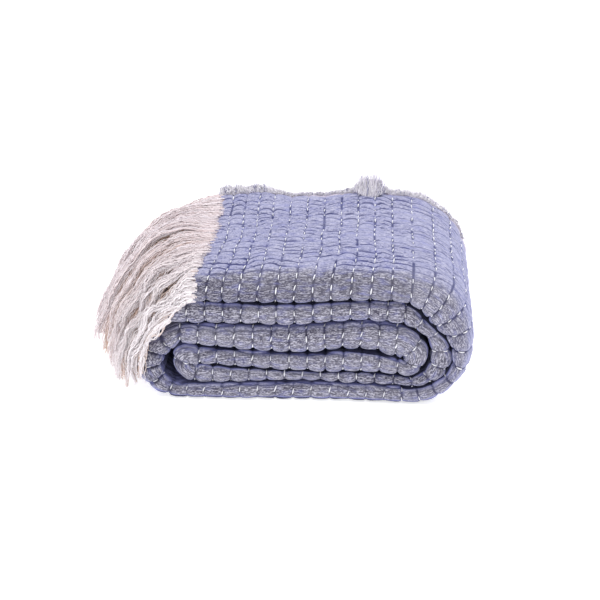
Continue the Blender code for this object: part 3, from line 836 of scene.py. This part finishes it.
# Each row is a line that the strands follow from the root down, at a share of the way from the open back
# edge to the front fold. The points are in mm, in the plan's frame. The first fringe's roots are left out,
# because they follow the outline of the cloth's end.
UPPER_SHARES = (0.0, 0.28, 0.52, 0.74, 0.9, 1.0)
UPPER_LINES = (
    ((-124, 88, 121), (-160, 88, 98), (-188, 80, 64), (-204, 68, 32), (-209, 60, 4)),
    ((-125, 32, 123), (-160, 34, 97), (-186, 30, 60), (-200, 24, 30), (-206, 18, 3)),
    ((-122, -20, 120), (-152, -20, 95), (-174, -24, 62), (-185, -30, 32), (-187, -36, 3)),
    ((-118, -66, 114), (-138, -70, 94), (-155, -75, 68), (-165, -81, 40), (-168, -86, 8)),
    ((-117, -84, 101), (-131, -86, 84), (-146, -88, 62), (-155, -89, 38), (-158, -89, 9)),
    ((-116, -88, 90), (-128, -90, 76), (-140, -91, 58), (-147, -90, 38), (-150, -90, 14)),
)
UNDER_SHARES = (0.0, 0.5, 1.0)
UNDER_LINES = (
    ((-90, 84, 101), (-118, 88, 104), (-145, 85, 84), (-165, 75, 55), (-175, 60, 27), (-178, 50, 4)),
    ((-89, 0, 101), (-122, 0, 104), (-145, 0, 84), (-163, -4, 55), (-172, -8, 28), (-176, -10, 4)),
    ((-99, -78, 99), (-116, -80, 94), (-130, -83, 78), (-143, -84, 56), (-149, -82, 32), (-152, -80, 10)),
)
LOWER_SHARES = (0.0, 0.5, 0.9, 1.0)
LOWER_LINES = (
    ((-122, 84, 85), (-139, 80, 78), (-154, 78, 60), (-162, 74, 36), (-165, 70, 14), (-168, 66, 3)),
    ((-122, 0, 85), (-139, 0, 78), (-153, 0, 60), (-160, -3, 37), (-163, -6, 14), (-166, -8, 3)),
    ((-121, -86, 86), (-134, -88, 76), (-146, -89, 60), (-151, -89, 42), (-153, -88, 26), (-154, -86, 16)),
    ((-119, -88, 80), (-131, -90, 72), (-141, -91, 58), (-146, -91, 42), (-148, -90, 28), (-148, -88, 18)),
)
GUIDE_CELLS = 40
ROOT_OVERLAP, ROOT_PAST = 6 * MM, 2 * MM  # how far the roots run over the woven edge, and on past it
ROOT_RISE, ROOT_RAGGED = 1.0 * MM, 1.5 * MM  # how far above the cloth they lie, and how uneven they are
ROOT_WAVES = ((43, 1.0), (101, 0.7))


def upper_root(share):
    """Two points at the cloth's upper end: share 0 is its back edge, and 1 is the underside of its fold."""
    steps = breadth[0, :last_front + 1] / breadth[0, last_front]
    raised = grid[0] + normals[0] * ROOT_RISE
    root = [np.interp(share, steps, raised[:last_front + 1, axis]) for axis in range(3)]
    overlap = ROOT_OVERLAP + ROOT_RAGGED * sum(size * math.sin(share * pace) for pace, size in ROOT_WAVES)
    return [[root[0] + off, root[1], root[2]] for off in (overlap, -ROOT_PAST)]


def along_line(points, share):
    """A point of the smooth line through the points, at a share of its length."""
    marks = np.cumsum([0] + [math.dist(a, b) for a, b in zip(points, points[1:])])
    return [smooth_at(marks, column, share * marks[-1]) for column in zip(*points)]


def sheet_mesh(name, rows):
    """A grid of faces over rows of points, with its map: across in the first place, down in the second."""
    across, down = len(rows) - 1, len(rows[0]) - 1
    faces = []
    for i, j in np.ndindex(across, down):
        k = i * (down + 1) + j
        faces.append((k, k + 1, k + down + 2, k + down + 1))
    mesh = bpy.data.meshes.new(name)
    mesh.from_pydata([point for row in rows for point in row], [], faces)
    corners = np.array(faces).ravel()
    place = np.stack([corners // (down + 1) / across, corners % (down + 1) / down], axis=1)
    mesh.uv_layers.new(name="route").data.foreach_set("uv", place.astype(np.float32).ravel())
    return mesh


def guide_sheet(name, shares, lines, root=None):
    """The smooth sheet that a fringe's strands follow."""
    rows = []
    for i in range(GUIDE_CELLS + 1):
        share = i / GUIDE_CELLS
        line = root(share) if root else []
        for places in zip(*lines):
            place = np.array([smooth_at(shares, column, share) for column in zip(*places)])
            line.append(list(place * MM + PLACE))
        rows.append([along_line(line, j / GUIDE_CELLS) for j in range(GUIDE_CELLS + 1)])
    return sheet_mesh(name, rows)


def loose_strands():
    """Strands that follow a guide sheet down its map. They gather in locks that curl and lie over each
    other, and each thread keeps its own fine crinkle."""
    tree, given = start_tree("loose strands", (
        ("Strands", "Int"), ("Steps", "Int"), ("Finish", "Material"), *((name, "Float") for name in (
            "Locks", "Thickness", "Gather", "Crinkle", "Crinkles", "Curl", "Depth",
            "Shortest", "Loose", "Ragged",
        )),
    ))
    sheet = given["Geometry"]
    line = sheet.node("GeometryNodeCurvePrimitiveLine")
    line = sheet.node("GeometryNodeResampleCurve", {"Curve": line, "Count": given["Steps"]})
    values = {0: line, "Amount": given["Strands"]}
    copies = sheet.node("GeometryNodeDuplicateElements", values, domain="SPLINE")
    number = copies.part("Duplicate Index")
    down = sheet.node("GeometryNodeSplineParameter")

    def chance(number, seed, start=0.0, stop=1.0):
        values = {2: start, 3: stop, "ID": number, "Seed": seed}
        return sheet.node("FunctionNodeRandomValue", values, output=1)

    def drift(x, y, z):
        """A smooth random direction, with each part from about -1 to 1."""
        return (sheet.spot(x, y, z).noise(1.0, 1.0, output=1) - (0.5, 0.5, 0.5)).scaled(2.6)

    share = (number + chance(number, 1)) / given["Strands"]
    lock = (share * given["Locks"] + chance(number, 2, -0.3, 0.3)).maths("FLOOR")
    middle = (lock + 0.5 + chance(lock, 3, -0.3, 0.3)) / given["Locks"]
    loose = chance(number, 11).maths("LESS_THAN", given["Loose"])
    share = share + (middle - share) * down.ramp(0.03, 0.6) * given["Gather"] * (1 - loose * 0.85)
    share = share.maths("MAXIMUM", 0.003).maths("MINIMUM", 0.997)
    short = 1 - given["Shortest"]
    reach = 1 - chance(number, 4) * chance(number, 5) * short - chance(lock, 6) * short * 0.6
    start = chance(number, 12) * given["Ragged"] + 0.003
    spot = sheet.spot(share, start + down * (reach * 0.994 - start))
    route = sheet.carried("route", "FLOAT_VECTOR")

    def sampled(value):
        values = {0: sheet, 1: value, 2: route, 3: spot}
        return sheet.node("GeometryNodeSampleUVSurface", values, data_type="FLOAT_VECTOR")

    outward = sampled(sheet.node("GeometryNodeInputNormal"))
    layer = chance(number, 7, -0.5, 0.5) + chance(lock, 8, -0.4, 0.6)
    layer = layer * (1 - loose) + chance(number, 7, -1.0, -0.2) * loose
    grown = down.ramp(0.0, 0.35)
    curl = drift(lock * 3.7, down * 4.0, share * 6.0).scaled(given["Curl"] * grown)
    crinkle = drift(number * 0.73, down * given["Crinkles"], lock * 0.9)
    crinkle = crinkle.scaled(given["Crinkle"] * down.ramp(0.0, 0.12, 0.25, 1.0))
    place = sampled(sheet.node("GeometryNodeInputPosition")) + curl + crinkle
    place = place + outward.scaled(layer * given["Depth"] * down.ramp(0.0, 0.3, 0.3, 1.0))
    place = sheet.node("ShaderNodeSeparateXYZ", {0: place})
    height = place.part("Z").maths("MAXIMUM", given["Thickness"])
    place = sheet.spot(place, place.part("Y"), height)
    strands = sheet.node("GeometryNodeSetPosition", {"Geometry": copies, "Position": place})
    # The finish paints shade on the strands that lie deeper; that layer is raised near the roots, which get
    # less of it.
    root = down.ramp(0.0, 0.3, 0.4, 0.0)
    for name, value in (("layer", layer + root), ("share", share), ("thread", chance(number, 9))):
        values = {"Geometry": strands, "Name": name, "Value": value}
        strands = sheet.node("GeometryNodeStoreNamedAttribute", values, data_type="FLOAT", domain="POINT")
    ring = sheet.node("GeometryNodeCurvePrimitiveCircle", {"Resolution": 3, "Radius": 1.0})
    girth = given["Thickness"] * chance(number, 10, 0.7, 1.2) * down.ramp(0.6, 1.0, 1.0, 0.5)
    values = {"Curve": strands, "Profile Curve": ring, "Scale": girth, "Fill Caps": True}
    end_tree(sheet.node("GeometryNodeCurveToMesh", values), given["Finish"])
    return tree


def cream_cotton():
    """Cream, with warmer, darker painted shade between the locks, and fine fibres along each thread."""
    made, start, shader = new_finish("cream cotton", 0.85, 0.25, (1.0, 0.95, 0.95, 1))
    white = start.stored("share").ramp(0.35, 0.9, 0.0, 0.5)
    # Painted shade on the strands that lie deeper, less of it on the whitened ones.
    deep = start.stored("layer").ramp(0.3, -0.6, 0.0, 0.85) * (1 - white * 0.5)
    fibres = start.noise(700.0, 3.0)
    body = start.stored("thread").tint((0.87, 0.76, 0.77, 1), (0.94, 0.88, 0.93, 1))
    body = white.tint(body, (0.97, 0.94, 0.97, 1))
    body = deep.tint(body, (0.66, 0.44, 0.32, 1))
    body = fibres.ramp(0.5, 0.32, 0.0, 0.25).tint(body, (0.62, 0.52, 0.48, 1))
    bump = start.node("ShaderNodeBump", {"Height": fibres, "Strength": 0.5, "Distance": 0.4 * MM})
    body.feed(shader.inputs["Base Color"])
    bump.feed(shader.inputs["Normal"])
    return made


STRANDS_TREE, CREAM = loose_strands(), cream_cotton()
UPPER = dict(
    Strands=400, Locks=19.0, Steps=78, Thickness=0.76 * MM, Gather=0.7, Crinkle=1.8 * MM, Crinkles=26.0,
    Curl=7.0 * MM, Depth=5.5 * MM, Shortest=0.84, Loose=0.4, Ragged=0.04, Finish=CREAM,
)
INNER = dict(
    Strands=300, Locks=14.0, Steps=44, Thickness=0.65 * MM, Gather=0.6, Crinkle=1.3 * MM, Crinkles=20.0,
    Curl=2.0 * MM, Depth=2.5 * MM, Shortest=0.85, Loose=0.35, Ragged=0.04, Finish=CREAM,
)
FLYAWAY = dict(
    Strands=440, Locks=19.0, Steps=72, Thickness=0.3 * MM, Gather=0.5, Crinkle=2.6 * MM, Crinkles=30.0,
    Curl=7.0 * MM, Depth=6.5 * MM, Shortest=0.85, Loose=0.0, Ragged=0.04, Finish=CREAM,
)
UPPER_GUIDE = guide_sheet("upper_guide", UPPER_SHARES, UPPER_LINES, upper_root)
UNDER_GUIDE = guide_sheet("under_guide", UNDER_SHARES, UNDER_LINES)
LOWER_GUIDE = guide_sheet("lower_guide", LOWER_SHARES, LOWER_LINES)
for name, node, guide, sizes in (
    ("fringe_upper_threads", "fringe_upper", UPPER_GUIDE, UPPER),
    ("fringe_upper_fibres", "fringe_upper", UPPER_GUIDE, FLYAWAY),
    ("fringe_under_threads", "fringe_upper_under", UNDER_GUIDE, INNER),
    ("fringe_lower_threads", "fringe_lower", LOWER_GUIDE, INNER),
):
    threads = grow(name, guide.copy(), STRANDS_TREE, **sizes)
    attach(threads, "root")
    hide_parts(node)


# The selvedge's fray. The undyed ends of the crosswise threads, cut short and left loose, stand along
# the first leaf's back edge. They are longest where a part of that edge stands up.

# How high it stands along the plan's x, in mm.
FRAY_X = (-116, -104, -92, -75, -66, -52, -42, -30, 12, 20, 42, 46, 68, 71, 80, 95, 110, 125, 140, 148)
FRAY_RISE = (1, 5, 8, 8.5, 5.5, 7.5, 5, 2.5, 1, 1.5, 5, 8.5, 7.5, 5.5, 4, 5, 4.5, 3, 1.8, 0.2)
FRAY_FRONT, FRAY_BACK = 4.8 * MM, 1.8 * MM  # from the edge to its roots, and to its tips
FRAY_FULL = 6 * MM  # where it stands lower than this, its roots lie nearer to the edge
FRAY_BEND = 1.2  # how much it leans back before it stands up
FRAY_ROWS = 6
FRAY_ENDS = 148 * MM


def fray_guide(cuts):
    """A strip that stands up from the cloth's back edge along some cuts."""
    rows = []
    for k in cuts:
        edge = grid[k, 0]
        rise = np.interp((edge[0] - PLACE[0]) / MM, FRAY_X, FRAY_RISE) * MM
        upward = (PORT[k] - STARBOARD[k]) / np.linalg.norm(PORT[k] - STARBOARD[k])
        out = np.array([upward[0], 0, upward[1]])
        root = edge - [0, FRAY_FRONT * min(rise / FRAY_FULL, 1), 0]
        root += (grid[k, HEM_STEPS] - edge) * flap(edge[0] - PLACE[0])
        tip = edge + [0, FRAY_BACK, 0] + out * rise
        shares = [(share, share, share ** FRAY_BEND) for share in np.linspace(0, 1, FRAY_ROWS)]
        rows.append([tuple(root + (tip - root) * share) for share in shares])
    return sheet_mesh("fray_guide", rows)


def undyed_cotton():
    """Pale pinkish lavender, with a few threads still blue."""
    made, start, shader = new_finish("undyed cotton", 0.85, 0.25, (0.9, 0.9, 1.0, 1))
    tone = start.stored("thread")
    body = tone.tint((0.90, 0.86, 0.96, 1), (1.0, 0.98, 1.0, 1))
    body = tone.ramp(0.92, 0.94).tint(body, (0.30, 0.30, 0.50, 1))
    body.feed(shader.inputs["Base Color"])
    return made


frayed = (ON["A"] | ON["outer right"]) & (PORT[:, 0] < FRAY_ENDS) & (PORT[:, 1] > LIFT_START)
selvedge_fray = grow(
    "selvedge_fray", fray_guide(np.flatnonzero(frayed)[::2]), STRANDS_TREE,
    Strands=1650, Locks=76.0, Steps=10, Thickness=0.27 * MM, Gather=0.15, Crinkle=2.2 * MM, Crinkles=4.0,
    Curl=1.8 * MM, Depth=2.5 * MM, Shortest=0.85, Loose=0.35, Ragged=0.12, Finish=undyed_cotton(),
)
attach(selvedge_fray, "root")


# The studio. A wide near-white floor, soft light from a bright white room, and a large soft lamp above
# and behind the blanket. The camera looks down at its front with a long lens, from a little to its right.

FLOOR_SIDE, FLOOR_DROP = 8.0, 0.3 * MM
FLOOR_GLOW = 0.6  # a light table, so that no shadow shows
ROOM_LIGHT, LAMP_POWER, LAMP_SIDE = 0.93, 14.0, 1.6
LAMP_PLACE = Vector((0.05, 0.15, 1.5))
LENS, SENSOR = 90.9, 36.0  # in mm
IMAGE_SIDE = 600
LOOKS_DOWN, LOOKS_LEFT = math.radians(26), math.radians(3)
FRONT_EDGE = Vector((0.03045, -0.0862, 0.0))  # the bottom of the frontmost fold
FRONT_EDGE_PIXEL = Vector((304.0, 399.5))
FRONT_EDGE_DISTANCE = 1.394

half = FLOOR_SIDE / 2
corners = [(-half, -half, 0), (half, -half, 0), (half, half, 0), (-half, half, 0)]
floor_mesh = bpy.data.meshes.new("studio_floor")
floor_mesh.from_pydata(corners, [], [(0, 1, 2, 3)])
studio_floor = new_object("studio_floor", floor_mesh)
studio_floor.location.z = -FLOOR_DROP
paper = bpy.data.materials.new("white paper")
paper.use_nodes = True
set_inputs(paper.node_tree.nodes["Principled BSDF"], {
    "Base Color": (0.93, 0.93, 0.94, 1), "Roughness": 0.9,
    "Emission Color": (1, 1, 1, 1), "Emission Strength": FLOOR_GLOW,
})
studio_floor.data.materials.append(paper)

room = bpy.data.worlds.new("white room")
room.use_nodes = True
set_inputs(room.node_tree.nodes["Background"], {"Color": (1, 1, 1, 1), "Strength": ROOM_LIGHT})
bpy.context.scene.world = room
bpy.context.scene.view_settings.view_transform = "Standard"

lamp_light = bpy.data.lights.new("soft_lamp", "AREA")
lamp_light.energy, lamp_light.size = LAMP_POWER, LAMP_SIDE
lamp = new_object("soft_lamp", lamp_light)
lamp.location = LAMP_PLACE
lamp.rotation_euler = (-LAMP_PLACE).to_track_quat("-Z", "Y").to_euler()

turn = Euler((math.pi / 2 - LOOKS_DOWN, 0, LOOKS_LEFT))
metres_per_pixel = FRONT_EDGE_DISTANCE / (LENS / SENSOR * IMAGE_SIDE)
off_middle = (FRONT_EDGE_PIXEL - Vector((IMAGE_SIDE / 2, IMAGE_SIDE / 2))) * metres_per_pixel
camera_data = bpy.data.cameras.new("camera")
camera_data.lens, camera_data.sensor_width = LENS, SENSOR
camera = new_object("camera", camera_data)
camera.location = FRONT_EDGE + turn.to_matrix() @ Vector((-off_middle.x, off_middle.y, FRONT_EDGE_DISTANCE))
camera.rotation_euler = turn
bpy.context.scene.camera = camera
